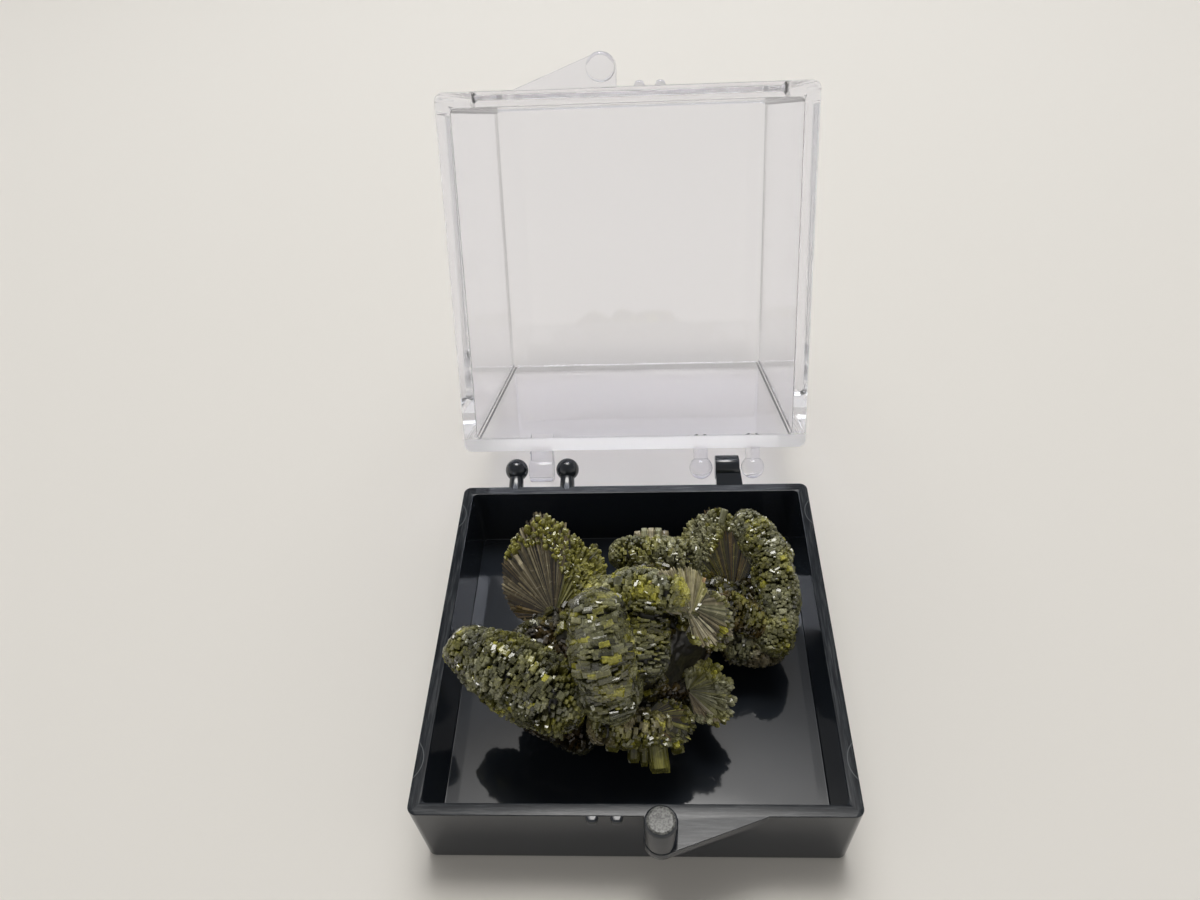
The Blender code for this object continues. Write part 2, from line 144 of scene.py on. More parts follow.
# The heights between which the levels of wear are told apart
WEAR_LOW = 7.0
WEAR_SPAN = 3.5
LID_POLISH = 0.015
LID_RUB = 0.54

# Epidote from its darkest to its lightest, in each of the casts that it takes
EPIDOTE = {
    "olive": ["#1b1a0d", "#383617", "#575424", "#797635", "#a5a151"],
    "grey": ["#1c1b11", "#3c3c29", "#5f5f42", "#84835f", "#b2b08c"],
    "yellow": ["#35310d", "#615c18", "#8a8522", "#b3ad36", "#d2cb54"],
    "brown": ["#140e06", "#2b200e", "#48381a", "#6e5930", "#9a865c"],
    "cream": ["#231e14", "#4b432f", "#766b4e", "#a19575", "#cdc3a4"],
    "peach": ["#33241a", "#63442b", "#8c6540", "#b08558", "#d0a97c"],
    "lilac": ["#232224", "#46454b", "#6c6b74", "#95959d", "#c3c3c9"],
}

# Fans: blades from an apex, so many and so wide. reach is the outline as (degrees from level,
# radius); face is the split face's normal; front and back say how far the blades leave its plane,
# in degrees. crust is how many small crystals sit on the face, outside the share of the radius in
# crust_from. glow and level say how bright the split face and the tips are, side and rim name
# their casts.
FANS = {
    "left_fan": {
        "apex": (-6.3, -0.4, 9.4),
        "face": (0.10, -0.62, 0.78),
        "reach": [(-174, 2.2), (-207, 4.2), (-228, 5.5), (-241, 6.6), (-256, 7.6), (-268, 8.5),
                  (-278, 7.8), (-293, 6.8), (-309, 6.8), (-323, 6.0), (-342, 4.2)],
        "back": 34, "front": [(-174, 0), (-262, 0), (-285, 7), (-310, 16), (-342, 24)],
        "blades": 2600, "width": 0.22,
        "crust": 620, "crust_from": [(-174, 1.0), (-236, 1.0), (-252, 0.86), (-270, 0.66), (-290, 0.5),
                                     (-342, 0.35)],
        "glow": 0.42, "side": ("brown", "cream"), "rim": ("olive", "olive"), "level": 0.95,
    },
    "right_fan": {
        "apex": (8.3, 3.3, 6.5),
        "face": (-0.15, -0.62, 0.77),
        "reach": [(200, 2.6), (186, 3.8), (160, 5.8), (147, 6.9), (135, 7.3), (120, 7.8), (108, 8.0),
                  (88, 5.8), (70, 4.6)],
        "back": 32, "front": [(200, 12), (150, 5), (120, 0), (70, 0)],
        "blades": 2400, "width": 0.22,
        "crust": 900, "crust_from": [(200, 0.36), (160, 0.48), (135, 0.52), (115, 0.62), (100, 0.84)],
        "glow": 0.48, "side": ("brown", "olive"), "rim": ("olive", "grey"), "level": 0.92,
    },
    "centre_fan": {
        "apex": (4.4, -3.9, 13.9),
        "face": (0.15, -0.60, 0.78),
        "reach": [(156, 3.1), (132, 4.0), (112, 4.1), (91, 3.8), (69, 3.5), (42, 2.3)],
        "back": 40, "front": [(156, 4), (42, 0)],
        "blades": 1000, "width": 0.17,
        "crust": 26, "crust_from": [(156, 0.7), (120, 0.93), (42, 0.97)],
        "glow": 0.90, "side": ("cream", "olive"), "rim": ("olive", "peach"), "level": 0.78,
    },
    "centre_skirt": {
        "apex": (4.0, -3.2, 14.5),
        "face": (0.25, -0.55, 0.79),
        "reach": [(20, 1.7), (5, 2.4), (-10, 3.0), (-29, 3.7), (-51, 4.3), (-69, 4.3), (-98, 2.9)],
        "back": 42, "front": [(20, 0), (-98, 4)],
        "blades": 1000, "width": 0.24,
        "crust": 60, "crust_from": [(20, 0.86), (-30, 0.84), (-98, 0.74)],
        "glow": 0.66, "side": ("cream", "grey"), "rim": ("olive", "olive"), "level": 0.60,
    },
    "low_fan": {
        "apex": (4.2, -5.5, 6.6),
        "face": (0.25, -0.45, 0.86),
        "reach": [(75, 1.5), (60, 1.9), (25, 2.9), (1, 3.4), (-24, 3.5), (-45, 4.0), (-68, 3.8),
                  (-98, 2.6)],
        "back": 42, "front": [(75, 14), (-98, 8)],
        "blades": 1100, "width": 0.24,
        "crust": 150, "crust_from": [(75, 0.6), (-98, 0.66)],
        "glow": 0.90, "side": ("brown", "cream"), "rim": ("olive", "grey"), "level": 0.88,
    },
    "front_fan": {
        "apex": (1.0, -8.3, 7.6),
        "face": (0.20, -0.55, 0.81),
        "reach": [(30, 1.6), (12, 2.4), (-16, 3.6), (-29, 3.9), (-44, 3.8), (-66, 3.0), (-90, 2.2)],
        "back": 40, "front": [(30, 4), (-90, 8)],
        "blades": 700, "width": 0.24,
        "crust": 60, "crust_from": [(30, 0.8), (-90, 0.7)],
        "glow": 0.52, "side": ("brown", "olive"), "rim": ("olive", "grey"), "level": 0.60,
    },
}

# Crests: tips about a spine of (x, y, z, radius). plates is how flat the tips are, against their
# width, with the flat side across the spine. level is how bright they are, and the last value is
# the share of painted yellow-green glow, light through the tips painted into the colour.
CRESTS = {
    "left_lobe": {
        "spine": [(-12.1, -4.7, 10.6, 2.1), (-9.4, -6.3, 10.7, 3.0), (-5.9, -7.8, 9.8, 3.0)],
        "tips": 2700, "width": 0.38, "plates": 0.8, "casts": ("grey", "olive"),
        "level": 0.56, "painted_glow_share": 0.07,
    },
    "front_crest": {
        "spine": [(-2.4, -4.6, 14.6, 2.3), (-2.0, -6.9, 13.2, 2.5), (-1.6, -8.2, 10.8, 2.3)],
        "tips": 1500, "width": 0.8, "plates": 0.5, "casts": ("grey", "olive"),
        "level": 0.54, "painted_glow_share": 0.10,
    },
    "middle_crest": {
        "spine": [(1.2, -3.7, 13.6, 1.7), (1.1, -6.0, 12.0, 1.8)],
        "tips": 520, "width": 0.66, "plates": 0.38, "casts": ("grey", "olive"),
        "level": 0.48, "painted_glow_share": 0.06,
    },
    "top_crest": {
        "spine": [(-2.2, -1.2, 13.0, 1.5), (0.6, -1.4, 14.3, 1.7), (2.9, -2.4, 14.8, 1.5)],
        "tips": 860, "width": 0.42, "plates": 0.8, "casts": ("yellow", "grey"),
        "level": 0.72, "painted_glow_share": 0.10,
    },
    "back_clump": {
        "spine": [(-0.5, 6.3, 8.9, 1.6), (2.2, 6.6, 9.0, 1.5), (4.4, 6.2, 8.6, 1.5)],
        "tips": 1000, "width": 0.34, "plates": 0.8, "casts": ("olive", "grey"),
        "level": 0.80, "painted_glow_share": 0.04,
    },
    "right_crest": {
        "spine": [
            (9.9, 8.4, 9.8, 1.6), (11.5, 5.8, 9.3, 1.9), (11.9, 2.4, 7.8, 2.0), (11.5, -0.2, 6.1, 1.65),
        ],
        "tips": 2600, "width": 0.32, "plates": 0.85, "casts": ("olive", "grey"),
        "level": 0.66, "painted_glow_share": 0.04,
    },
    "inner_crest": {
        "spine": [(7.6, 0.9, 8.4, 1.5), (9.8, 0.6, 7.2, 1.4)],
        "tips": 620, "width": 0.34, "plates": 0.8, "casts": ("olive", "brown"),
        "level": 0.58, "painted_glow_share": 0.02,
    },
    "right_foot": {
        "spine": [(8.5, -0.4, 5.0, 1.5), (11.0, -0.2, 4.4, 1.5)],
        "tips": 560, "width": 0.38, "plates": 0.8, "casts": ("grey", "cream"),
        "level": 0.60, "painted_glow_share": 0.02,
    },
    "front_foot": {
        "spine": [(-1.9, -8.8, 7.2, 1.7), (0.3, -8.9, 6.8, 1.6), (2.5, -8.1, 6.0, 1.4)],
        "tips": 800, "width": 0.42, "plates": 0.75, "casts": ("olive", "cream"),
        "level": 0.72, "painted_glow_share": 0.06,
    },
    "left_foot": {
        "spine": [(-7.6, -6.6, 6.0, 1.9), (-4.6, -7.6, 4.6, 2.0)],
        "tips": 700, "width": 0.44, "plates": 0.8, "casts": ("brown", "grey"),
        "level": 0.36, "painted_glow_share": 0.0,
    },
}

# The mass that joins them: (x, y, z, radius across, radius up)
CORE = [
    (-7.0, -3.6, 8.2, 3.2, 2.8),
    (-6.0, -0.8, 8.0, 2.4, 2.2),
    (-3.0, -3.6, 8.4, 3.6, 6.0),
    (0.8, -3.6, 8.2, 3.4, 5.8),
    (3.6, -1.6, 9.0, 2.8, 4.6),
    (1.6, 2.6, 7.4, 2.8, 3.0),
    (6.0, 2.2, 6.2, 3.2, 3.0),
    (9.6, 2.6, 5.4, 2.8, 2.8),
]
# The mass's share of a crest's radius, its lumps behind the fans' apexes, and how finely it is melted
CREST_LUMP = 0.72
APEX_LUMP = 1.1
APEX_SINK = 1.2
MELT_SIZE = 0.3
# The share of the mass's faces that carry grit, and the share of a crest's radius that is free of it
GRIT_SHARE = 0.28
COVERED = 0.86
REST_GAP = 0.3
FEET = [(-3.4, -4.4, 1.9), (1.6, -6.6, 1.7), (8.8, 1.6, 1.9), (0.6, 0.6, 1.7)]

# Single thick prisms: root, tip, width, depth, cast, brightness and finer prisms set on it
PRISMS = [
    ((1.5, -8.0, 7.0), (2.0, -11.2, 4.4), 1.5, 1.2, "olive", 0.94, 34),
    ((0.1, -8.2, 7.0), (0.0, -10.9, 5.3), 0.9, 0.8, "olive", 0.60, 14),
    ((0.8, -8.4, 7.0), (0.8, -11.0, 5.0), 0.6, 0.6, "olive", 0.66, 8),
    ((2.7, -7.6, 6.4), (3.4, -10.1, 5.2), 1.0, 0.9, "olive", 0.66, 14),
    ((-1.2, -8.4, 7.4), (-1.6, -10.7, 6.6), 1.0, 0.9, "olive", 0.58, 12),
    ((0.6, 5.4, 8.6), (0.35, 8.0, 10.0), 0.6, 0.7, "cream", 0.80, 3),
    ((1.1, 5.4, 8.6), (0.95, 8.2, 10.15), 0.6, 0.7, "grey", 0.95, 3),
    ((1.6, 5.4, 8.6), (1.55, 8.2, 10.15), 0.6, 0.7, "cream", 0.90, 3),
    ((2.1, 5.4, 8.6), (2.15, 8.2, 10.15), 0.6, 0.7, "grey", 0.85, 3),
    ((2.6, 5.4, 8.6), (2.75, 8.0, 10.0), 0.6, 0.7, "cream", 0.75, 3),
    ((7.5, 8.2, 10.7), (7.85, 9.1, 11.45), 0.6, 0.3, "grey", 0.75, 0),
]

# Small facets that lie nearly level and flash: x, y, z, how many, and how far they are spread
FLASHES = [
    (-2.4, -9.7, 11.2, 6, 0.5), (-1.0, -9.9, 11.9, 6, 0.5), (0.0, -9.9, 11.3, 3, 0.4),
    (8.7, -0.6, 6.8, 5, 0.4), (3.3, 5.4, 10.1, 2, 0.2), (-7.6, -2.1, 10.9, 3, 0.3),
    (-2.9, -5.8, 16.5, 2, 0.2), (1.2, -10.1, 7.4, 3, 0.3), (-0.3, -10.5, 7.3, 4, 0.4),
    (0.5, -2.5, 15.8, 2, 0.2), (0.8, -9.0, 8.5, 3, 0.3), (-9.0, -8.0, 12.6, 3, 0.9),
    (-5.6, -9.4, 6.2, 2, 0.4), (11.5, 3.4, 10.2, 3, 0.4), (5.1, -3.2, 14.5, 2, 0.3),
]
FLASH_TILT = 0.22

# A deep hollow without grit, nearly black: its middle and radius
HOLLOW = (4.0, -4.3, 10.2)
HOLLOW_RADIUS = 2.6

# Steps that spread blades evenly, from the golden ratio and from its cousin for two directions
GOLDEN_STEP = 0.6180339887
EVEN_STEP = 0.7548776662

# Camera, worked out from the box's corners in the photograph
CAMERA = (1.68, -46.18, 71.53)
PITCH = 0.7620
YAW = -0.0746
ROLL = -0.0667
LENS = 28.58
SENSOR = 36.0

# Light
CEILING_ANGLE = math.radians(73)
CEILING_SQUEEZE = 0.7
CEILING_POWER = 12.6
OVERHEAD_POWER = 0.32
OVERHEAD_PLACE = (0, 190, 260)
OVERHEAD_AIM = (0, 60, 0)
OVERHEAD_SIZE = (220, 160)
TABLE_REACH = 600


def linear(code):
    """An sRGB hex colour as the linear red, green, blue and alpha that shaders take."""
    parts = [int(code[i:i + 2], 16) / 255 for i in (1, 3, 5)]
    return (*[c / 12.92 if c <= 0.04045 else ((c + 0.055) / 1.055) ** 2.4 for c in parts], 1.0)


# Meshes

def as_object(name, bm):
    mesh = bpy.data.meshes.new(name)
    bm.to_mesh(mesh)
    bm.free()
    made = bpy.data.objects.new(name, mesh)
    bpy.context.scene.collection.objects.link(made)
    return made


def with_modifiers(shape):
    """A shape's mesh as its modifiers leave it."""
    graph = bpy.context.evaluated_depsgraph_get()
    result = bmesh.new()
    result.from_mesh(bpy.data.meshes.new_from_object(shape.evaluated_get(graph)))
    return result


def piece(name, bm, finish, body, smooth=40):
    """Turns a bmesh in millimetres into a finished piece that rides on a body. smooth is the
    sharpest turn between faces, in degrees, that is shaded as a round."""
    bmesh.ops.scale(bm, vec=(MM, MM, MM), verts=bm.verts)
    made = as_object(name, bm)
    made.data.materials.append(finish)
    if smooth:
        made.data.shade_smooth()
        made.data.set_sharp_from_angle(angle=math.radians(smooth))
    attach(made, body)
    return made


def keep_flat(made):
    """Flat faces keep their own shading, and the rounds between them take up the turn."""
    step = made.modifiers.new("flat", "WEIGHTED_NORMAL")
    step.mode = "FACE_AREA"
    step.weight = 100
    step.keep_sharp = True


def bevel(bm, edges, radius, segments):
    bmesh.ops.bevel(
        bm, geom=edges, offset=radius, offset_type="OFFSET", segments=segments,
        profile=0.5, affect="EDGES", material=-1, clamp_overlap=False,
    )


def between(start, end):
    """A placement at the middle of two points, with Z along the line between them."""
    line = Vector(end) - Vector(start)
    middle = (Vector(start) + Vector(end)) / 2
    return Matrix.Translation(middle) @ line.to_track_quat("Z", "Y").to_matrix().to_4x4()


def level_edges(bm, height):
    """The sharp edges round one level of a block."""
    return [
        e for e in bm.edges
        if all(abs(v.co.z - height) < NEAR for v in e.verts) and e.calc_face_angle() > BOX_TURN
    ]


def edges_at(verts):
    """The edges that meet some corners, each once. Their order is fixed, so that a bevel of them
    comes out the same each run."""
    return list(dict.fromkeys(e for v in verts for e in v.link_edges))


def upright_edges(bm, outside):
    """The upright edges at the outer corners, or those of the hollow."""
    found = []
    for edge in bm.edges:
        low, high = sorted(edge.verts, key=lambda v: v.co.z)
        if high.co.z - low.co.z > 1.0:
            corner = abs(high.co.x) > BOX / 2 - 0.5
            if corner == outside:
                found.append(edge)
    return found


def round_box(bm, levels):
    """Rounds the upright edges, the hollow's first, and then each (height, radius, segments)."""
    bevel(bm, upright_edges(bm, False), INNER_RADIUS, 4)
    bevel(bm, upright_edges(bm, True), CORNER_RADIUS, 6)
    for height, radius, segments in levels:
        bevel(bm, level_edges(bm, height), radius, segments)


def open_box(low, high, half_low, half_high, wall, floor, half_floor):
    """A square box, open upwards, whose sides lean. Its hollow is pushed down from the top."""
    bm = bmesh.new()
    bmesh.ops.create_cube(bm, size=2.0)
    for vert in bm.verts:
        half = half_high if vert.co.z > 0 else half_low
        vert.co = Vector((vert.co.x * half, vert.co.y * half, high if vert.co.z > 0 else low))
    top = [f for f in bm.faces if f.calc_center_median().z > high - NEAR]
    bmesh.ops.inset_region(bm, faces=top, thickness=wall, use_even_offset=True)
    hollow = bmesh.ops.extrude_discrete_faces(bm, faces=top)["faces"]
    share = half_floor / (half_high - wall)
    for vert in {v for f in hollow for v in f.verts}:
        vert.co = Vector((vert.co.x * share, vert.co.y * share, floor))
    return bm


def make_tray(finish):
    half = BOX / 2
    bm = open_box(0.0, TRAY_HEIGHT, half - TRAY_DRAFT, half, TRAY_WALL, TRAY_FLOOR,
                  half - TRAY_WALL - CAVITY_DRAFT)
    round_box(bm, (
        (TRAY_HEIGHT, RIM_RADIUS, 2), (TRAY_FLOOR, RIM_RADIUS, 2), (0.0, EDGE_RADIUS, 4),
    ))
    low = TRAY_HEIGHT - FLANGE_THICK
    parts = build_parts((
        lambda part: add_balls(part, -HINGE_X, TRAY_HEIGHT - TRAY_NECK_DROP),
        lambda part: add_knuckle(part, HINGE_X, TRAY_HEIGHT, TRAY_WEB, KNUCKLE_FLARE),
        lambda part: add_catch(part, 1, low, low + POST_ROOT, TRAY_HEIGHT + POST_RISE),
    ))
    made = piece("black_tray", fuse(bm, parts), finish, "tray", smooth=25)
    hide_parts("tray")
    keep_flat(made)


def make_lid(finish):
    """The lid is drawn upside down, turned shut, and then turned open about the hinges."""
    half = BOX / 2
    rim = TRAY_HEIGHT + SHUT_GAP
    share = (LID_DEPTH - LID_TOP) / LID_DEPTH
    bm = open_box(-LID_DEPTH, 0.0, half - LID_DRAFT, half, LID_WALL, LID_TOP - LID_DEPTH,
                  half - LID_WALL - LID_DRAFT * share)
    round_box(bm, (
        (0.0, RIM_RADIUS, 2), (-LID_DEPTH, LID_EDGE, 4), (LID_TOP - LID_DEPTH, LID_HOLLOW_EDGE, 3),
    ))
    bmesh.ops.rotate(bm, verts=bm.verts, cent=(0, 0, 0), matrix=Matrix.Rotation(math.pi, 3, "X"))
    bmesh.ops.translate(bm, verts=bm.verts, vec=(0, 0, rim))

    parts = build_parts((
        lambda part: add_knuckle(part, -HINGE_X, rim, LID_WEB, 0.0),
        lambda part: add_balls(part, HINGE_X, rim + LID_NECK_RISE),
        lambda part: add_catch(part, -1, rim, rim - POST_RISE, rim + FLANGE_THICK - POST_ROOT),
    ))
    opened = (
        Matrix.Translation((0, HINGE_Y, HINGE_Z))
        @ Matrix.Rotation(-math.radians(OPEN_ANGLE), 4, "X")
        @ Matrix.Translation((0, -HINGE_Y, -HINGE_Z))
    )
    joined = fuse(bm, parts)
    bmesh.ops.transform(joined, matrix=opened, verts=joined.verts)
    made = piece("clear_lid", joined, finish, "lid")
    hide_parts("lid")
    keep_flat(made)


def fuse(base, parts):
    """One closed skin round a shape and what stands on it."""
    shapes = []
    for bm in (base, *parts):
        bmesh.ops.recalc_face_normals(bm, faces=bm.faces)
        shapes.append(as_object("step", bm))
    for tool in shapes[1:]:
        join = shapes[0].modifiers.new("join", "BOOLEAN")
        join.operation = "UNION"
        join.solver = "EXACT"
        join.use_self = True
        join.object = tool
    whole = with_modifiers(shapes[0])
    for shape in shapes:
        bpy.data.objects.remove(shape, do_unlink=True)
    bmesh.ops.remove_doubles(whole, verts=whole.verts, dist=0.002)
    bmesh.ops.dissolve_degenerate(whole, edges=whole.edges, dist=0.002)
    bmesh.ops.recalc_face_normals(whole, faces=whole.faces)
    return whole


def build_parts(adders):
    """Runs each adder on a shape of its own."""
    parts = []
    for add in adders:
        part = bmesh.new()
        add(part)
        parts.append(part)
    return parts


def add_balls(bm, middle, foot_z):
    """Two balls on the hinges' axis, each on a neck that stands out of the wall."""
    for step in (-0.5, 0.5):
        centre = Vector((middle + step * BALL_SPACING, HINGE_Y, HINGE_Z))
        foot = Vector((centre.x, ROOT_Y, foot_z))
        lying = Matrix.Translation(centre) @ Matrix.Rotation(math.pi / 2, 4, "Y")
        bmesh.ops.create_uvsphere(bm, u_segments=40, v_segments=24, radius=BALL_RADIUS, matrix=lying)
        bmesh.ops.create_cone(
            bm, cap_ends=True, segments=24, radius1=NECK_FOOT, radius2=NECK_RADIUS,
            depth=(centre - foot).length, matrix=between(foot, centre),
        )


def add_knuckle(bm, middle, rim, root, flare):
    """A plate with a round end about the hinges' axis, and the web that joins it to a wall."""
    lying = Matrix.Translation((middle, HINGE_Y, HINGE_Z)) @ Matrix.Rotation(math.pi / 2, 4, "Y")
    turned = bmesh.ops.create_cone(
        bm, cap_ends=True, segments=48, radius1=KNUCKLE_RADIUS, radius2=KNUCKLE_RADIUS,
        depth=KNUCKLE_WIDTH, matrix=lying,
    )["verts"]
    ends = [e for e in edges_at(turned) if e.calc_face_angle(0) > PART_TURN]
    bevel(bm, ends, KNUCKLE_ROUNDING, 2)
    web = bmesh.ops.create_cube(bm, size=1.0)["verts"]
    for vert in web:
        at_root = vert.co.y < 0
        low, high = HINGE_Z - WEB_BELOW, HINGE_Z + WEB_ABOVE
        if at_root:
            low, high = rim + root[0], rim + root[1]
        wider = flare if at_root and vert.co.x > 0 else 0.0
        vert.co = Vector((
            middle + vert.co.x * (KNUCKLE_WIDTH - 0.1) + wider,
            ROOT_Y if at_root else HINGE_Y,
            high if vert.co.z > 0 else low,
        ))
    bevel(bm, edges_at(web), WEB_ROUNDING, 2)


def add_catch(bm, side, low, post_low, post_high):
    """The flange, its post and the two bumps that grip the other part's post."""
    turn = POST_RADIUS + FLANGE_LIP
    rounded = [math.radians(180 + 12 * step) for step in range(11)]
    corners = [(FLANGE_SIDE, -ROOT_Y)]
    corners += [(POST_X + turn * math.cos(a), POST_Y + turn * math.sin(a)) for a in rounded]
    corners += [(FLANGE_END, -BOX / 2), (FLANGE_END, -ROOT_Y)]
    outline = [bm.verts.new((side * x, y, low + SINK)) for x, y in corners]
    face = bm.faces.new(outline if side > 0 else outline[::-1])
    raised = bmesh.ops.extrude_face_region(bm, geom=[face])["geom"]
    lifted = [v for v in raised if isinstance(v, bmesh.types.BMVert)]
    bmesh.ops.translate(bm, vec=(0, 0, FLANGE_THICK - 2 * SINK), verts=lifted)
    edges = [e for e in edges_at(lifted + outline) if e.calc_face_angle(0) > PART_TURN]
    bevel(bm, edges, FLANGE_ROUNDING, 2)

    middle = (side * POST_X, POST_Y, (post_low + post_high) / 2)
    post = bmesh.ops.create_cone(
        bm, cap_ends=True, segments=48, radius1=POST_RADIUS, radius2=POST_RADIUS,
        depth=post_high - post_low, matrix=Matrix.Translation(middle),
    )["verts"]
    free_end = post_high if side > 0 else post_low
    around = [e for e in edges_at(post) if all(abs(v.co.z - free_end) < NEAR for v in e.verts)]
    bevel(bm, around, POST_ROUNDING, 4)

    for x in BUMP_X:
        bump = bmesh.ops.create_cube(bm, size=1.0)["verts"]
        for vert in bump:
            outer = vert.co.y < 0
            width = BUMP_WIDTH if outer else 2 * BUMP_WIDTH
            vert.co = Vector((
                -side * x + vert.co.x * width,
                -BOX / 2 - BUMP_REACH if outer else -ROOT_Y,
                low + (FLANGE_THICK - BUMP_SHORT[0] if vert.co.z > 0 else BUMP_SHORT[1]),
            ))
        bevel(bm, edges_at(bump), BUMP_ROUNDING, 4)


# Crystals

def unit_crystal(segments, taper, tip, ridge):
    """A crystal one unit long and one across, widening to its shoulder, with a chisel end."""
    bm = bmesh.new()
    shoulder = 1.0 - tip
    across = 0.5 / math.cos(math.pi / segments)
    bmesh.ops.create_cone(
        bm, cap_ends=True, segments=segments, radius1=taper * across, radius2=across, depth=shoulder,
        matrix=Matrix.Translation((0, 0, shoulder / 2)) @ Matrix.Rotation(math.pi / segments, 4, "Z"),
    )
    top = [f for f in bm.faces if f.calc_center_median().z > shoulder - NEAR]
    grown = bmesh.ops.extrude_discrete_faces(bm, faces=top)
    edge = [v for f in grown["faces"] for v in f.verts]
    bmesh.ops.scale(bm, vec=(0.8, ridge, 1.0), verts=edge)
    bmesh.ops.translate(bm, vec=(0, 0, tip), verts=edge)
    mesh = bpy.data.meshes.new("unit_crystal")
    bm.to_mesh(mesh)
    bm.free()
    return mesh


class Druse:
    """Crystals gathered into one mesh, each with a colour and a place of its own for the grain."""

    def __init__(self, name):
        self.name = name
        self.bm = bmesh.new()
        self.tints = []
        self.grains = []

    def add(self, unit, start, end, side, width, depth, tint, root_shade=0.35):
        """Sets a copy of the unit crystal between two points, its width along side."""
        start = Vector(start)
        line = Vector(end) - start
        along = line.normalized()
        across = along.cross(side).normalized()
        level = across.cross(along)
        place = Matrix((
            (*(level * width), 0), (*(across * depth), 0), (*line, 0), (0, 0, 0, 1),
        )).transposed()
        place.translation = start
        copy = unit.copy()
        copy.transform(place)
        self.bm.from_mesh(copy)
        bpy.data.meshes.remove(copy)
        length = line.length
        shift = random.uniform(0, 50)
        red, green, blue = tint
        for vert in unit.vertices:
            x, y, z = vert.co
            # Painted shade: each crystal's tint darkens from its tip down to root_shade at its root
            lit = root_shade + (1.0 - root_shade) * z
            self.tints.extend((red * lit, green * lit, blue * lit, 1.0))
            self.grains.extend((x * width + shift, y * depth, z * length))

    def finish(self, look):
        made = piece(self.name, self.bm, look, "tray", smooth=0)
        tint = made.data.attributes.new("tint", "FLOAT_COLOR", "POINT")
        tint.data.foreach_set("color", self.tints)
        grain = made.data.attributes.new("grain", "FLOAT_VECTOR", "POINT")
        grain.data.foreach_set("vector", self.grains)
        return made


def clamp(value):
    return min(max(value, 0.0), 1.0)


def any_way():
    """A random vector within a cube two units wide."""
    return Vector((random.uniform(-1, 1), random.uniform(-1, 1), random.uniform(-1, 1)))


def ramp_colour(cast, level):
    """A colour between the five of a cast, where level runs from 0, darkest, to 1."""
    codes = EPIDOTE[cast]
    place = clamp(level) * (len(codes) - 1)
    index = min(int(place), len(codes) - 2)
    near, far = Vector(linear(codes[index])[:3]), Vector(linear(codes[index + 1])[:3])
    return near.lerp(far, place - index)


def colour_at(tip, casts, painted_glow_share, level):
    """Casts and brightness drift in patches over the cluster, with a little change from one
    crystal to the next. A few patches are painted bright yellow-green, a painted glow of light
    through the crystals."""
    tip = Vector(tip)
    bright = level + 0.42 * noise.noise(tip * 0.8) + 0.2 * noise.noise(tip * 2.3) + random.gauss(0, 0.09)
    share = clamp(0.5 + 1.6 * noise.noise(tip * 0.45 + Vector((20, 0, 0))))
    tint = ramp_colour(casts[0], bright).lerp(ramp_colour(casts[1], bright), share)
    painted_glow_noise = noise.noise(tip * 1.5 + Vector((5, 5, 5))) + random.gauss(0, 0.06)
    # Painted glow: yellow-green patches that stand in for light through the crystals
    glow = clamp((painted_glow_noise - 0.52 + 2.6 * painted_glow_share) * 4.0) if painted_glow_share else 0.0
    return tint.lerp(ramp_colour("yellow", random.uniform(0.5, 0.95)), 0.8 * glow)


def streaked(tip, casts, level):
    """The cut sides of blades: bright and dark from one to the next."""
    share = clamp(0.5 + 1.6 * noise.noise(Vector(tip) * 0.6 + Vector((3, 9, 0))) + random.gauss(0, 0.2))
    return ramp_colour(casts[0], level).lerp(ramp_colour(casts[1], level + 0.1), share)


def at(pairs, angle):
    """The value at an angle, straight between the given pairs and level beyond them."""
    for (first, near), (second, far) in zip(pairs, pairs[1:]):
        if min(first, second) <= angle <= max(first, second):
            return near + (far - near) * (angle - first) / (second - first)
    return min(pairs, key=lambda pair: abs(pair[0] - angle))[1]


def fan_axes(face):
    """The level direction in a fan's plane, the one that climbs, and the face's own."""
    out = Vector(face).normalized()
    level = Vector((-out.y, out.x, 0)).normalized()
    return level, out.cross(level), out


def fan_ways(axes, angle, lift):
    """The way out from an apex at an angle in the fan's plane, and the same lifted off the plane."""
    level, climb, out = axes
    turn, tilt = math.radians(angle), math.radians(lift)
    flat = level * math.cos(turn) + climb * math.sin(turn)
    return flat, flat * math.cos(tilt) + out * math.sin(tilt)


